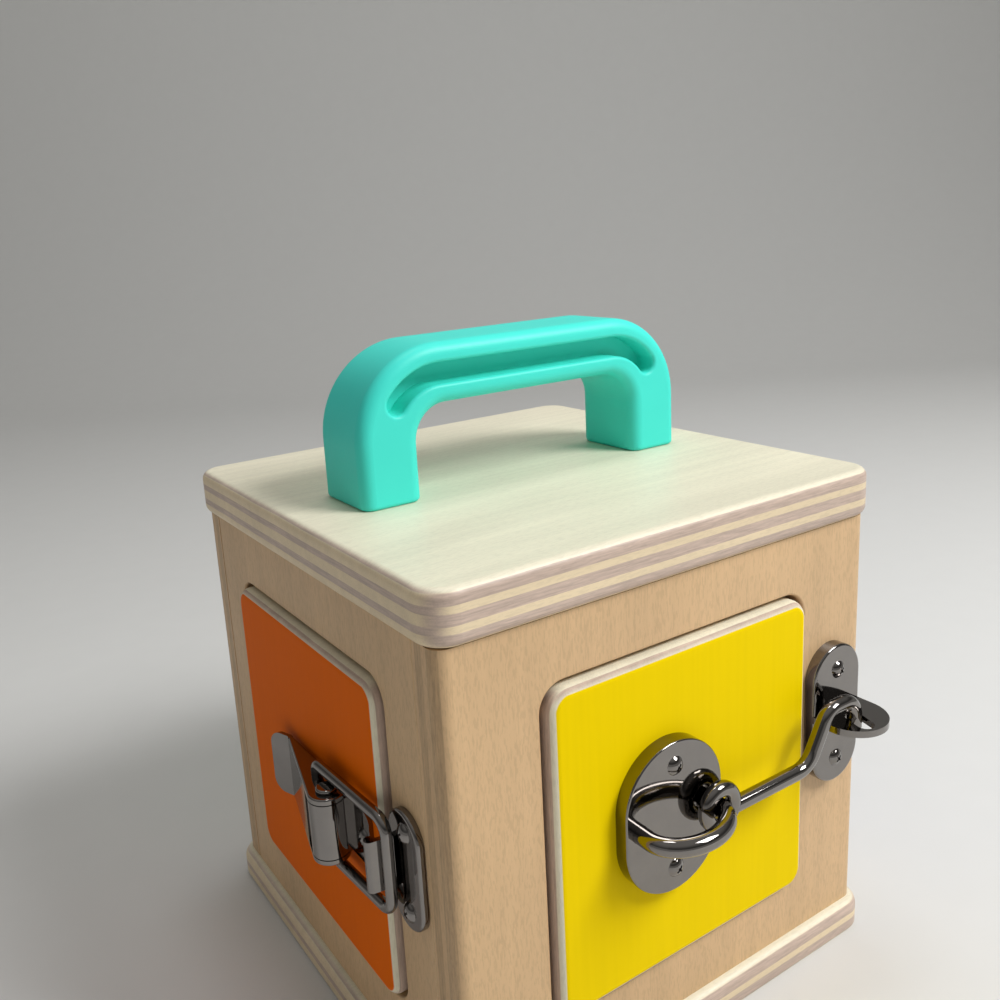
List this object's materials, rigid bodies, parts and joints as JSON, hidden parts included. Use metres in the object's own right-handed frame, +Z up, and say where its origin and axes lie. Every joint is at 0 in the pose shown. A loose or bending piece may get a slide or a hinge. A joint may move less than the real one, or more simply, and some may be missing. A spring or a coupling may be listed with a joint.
{
  "type": "wooden lock box",
  "caption": "Plywood cube with a carrying handle on its lid and a small hinged door on each side, every door held shut by a different kind of latch for a child to open.",
  "frame": {"origin": "centre of the base board's underside", "axes": "+Z up; the front, with the cabin hook, faces -Y and the side with the toggle latch faces -X"},
  "size_m": [0.1824, 0.1772, 0.193],
  "materials": {
    "birch_plywood": "satin",
    "yellow_door": "painted gloss",
    "orange_door": "painted gloss",
    "blue_door": "painted gloss",
    "green_door": "painted gloss",
    "turquoise_plastic": "gloss",
    "nickel": "polished",
    "zinc_steel": "zinc plated",
    "beech_button": "lacquered"
  },
  "bodies": {
    "box": {"base_board": "birch_plywood", "lid_board": "birch_plywood", "front_panel": "birch_plywood", "back_panel": "birch_plywood", "left_panel": "birch_plywood", "right_panel": "birch_plywood", "handle": "turquoise_plastic", "handle_screws": "zinc_steel", "front_hinge_pins": "zinc_steel", "front_door_stop": "birch_plywood", "right_hinge_pins": "zinc_steel", "right_door_stop": "birch_plywood", "back_hinge_pins": "zinc_steel", "back_door_stop": "birch_plywood", "left_hinge_pins": "zinc_steel", "left_door_stop": "birch_plywood", "hook_keeper": "nickel", "hook_keeper_screws": "zinc_steel", "toggle_catch": "nickel", "toggle_catch_screws": "zinc_steel", "bolt_keeper": "nickel", "bolt_keeper_screws": "zinc_steel", "button_spacer": "beech_button", "button_screw": "zinc_steel"},
    "front_door": {"front_door": "yellow_door", "hook_plate": "nickel", "hook_staple": "nickel", "hook_plate_screws": "zinc_steel"},
    "cabin_hook": {"cabin_hook": "nickel"},
    "left_door": {"left_door": "orange_door", "toggle_base": "nickel", "toggle_base_screws": "zinc_steel", "toggle_pivot": "nickel"},
    "toggle_lever": {"toggle_lever": "nickel"},
    "toggle_bail": {"toggle_bail": "nickel"},
    "right_door": {"right_door": "blue_door", "bolt_plate": "nickel", "bolt_plate_screws": "zinc_steel"},
    "slide_bolt": {"slide_bolt": "nickel", "bolt_knob": "nickel"},
    "back_door": {"back_door": "green_door"},
    "turn_button": {"turn_button": "beech_button"}
  },
  "joints": [
    {"name": "front_door_hinge", "type": "hinge", "parent": "box", "child": "front_door", "pos_m": [-0.03614, -0.0695, 0.073], "axis": [0, 0, -1], "range_deg": [0, 90]},
    {"name": "cabin_hook_swing", "type": "hinge", "parent": "front_door", "child": "cabin_hook", "pos_m": [0.002, -0.083, 0.0745], "axis": [0, -1, 0], "range_deg": [0, 112.5]},
    {"name": "left_door_hinge", "type": "hinge", "parent": "box", "child": "left_door", "pos_m": [-0.0695, 0.03614, 0.073], "axis": [0, 0, -1], "range_deg": [0, 90]},
    {"name": "toggle_lever_pivot", "type": "hinge", "parent": "left_door", "child": "toggle_lever", "pos_m": [-0.081, -0.025, 0.0735], "axis": [0, 0, 1], "range_deg": [0, 117]},
    {"name": "toggle_bail_pivot", "type": "hinge", "parent": "toggle_lever", "child": "toggle_bail", "pos_m": [-0.0795, -0.016, 0.0735], "axis": [0, 0, 1], "range_deg": [-135, 0]},
    {"name": "right_door_hinge", "type": "hinge", "parent": "box", "child": "right_door", "pos_m": [0.0695, -0.03614, 0.073], "axis": [0, 0, -1], "range_deg": [0, 90]},
    {"name": "bolt_slide", "type": "slide", "parent": "right_door", "child": "slide_bolt", "axis": [0, 1, 0], "range_m": [0, 0.015]},
    {"name": "back_door_hinge", "type": "hinge", "parent": "box", "child": "back_door", "pos_m": [0.03614, 0.0695, 0.073], "axis": [0, 0, -1], "range_deg": [0, 90]},
    {"name": "turn_button_pivot", "type": "hinge", "parent": "box", "child": "turn_button", "pos_m": [-0.0575, 0.079, 0.073], "axis": [0, 1, 0], "continuous": true}
  ],
  "couplings": [
    {"joint": "cabin_hook_swing", "follows": "front_door_hinge", "ratio": 1.25},
    {"joint": "toggle_lever_pivot", "follows": "left_door_hinge", "ratio": 1.3},
    {"joint": "toggle_bail_pivot", "follows": "left_door_hinge", "ratio": -1.5}
  ]
}
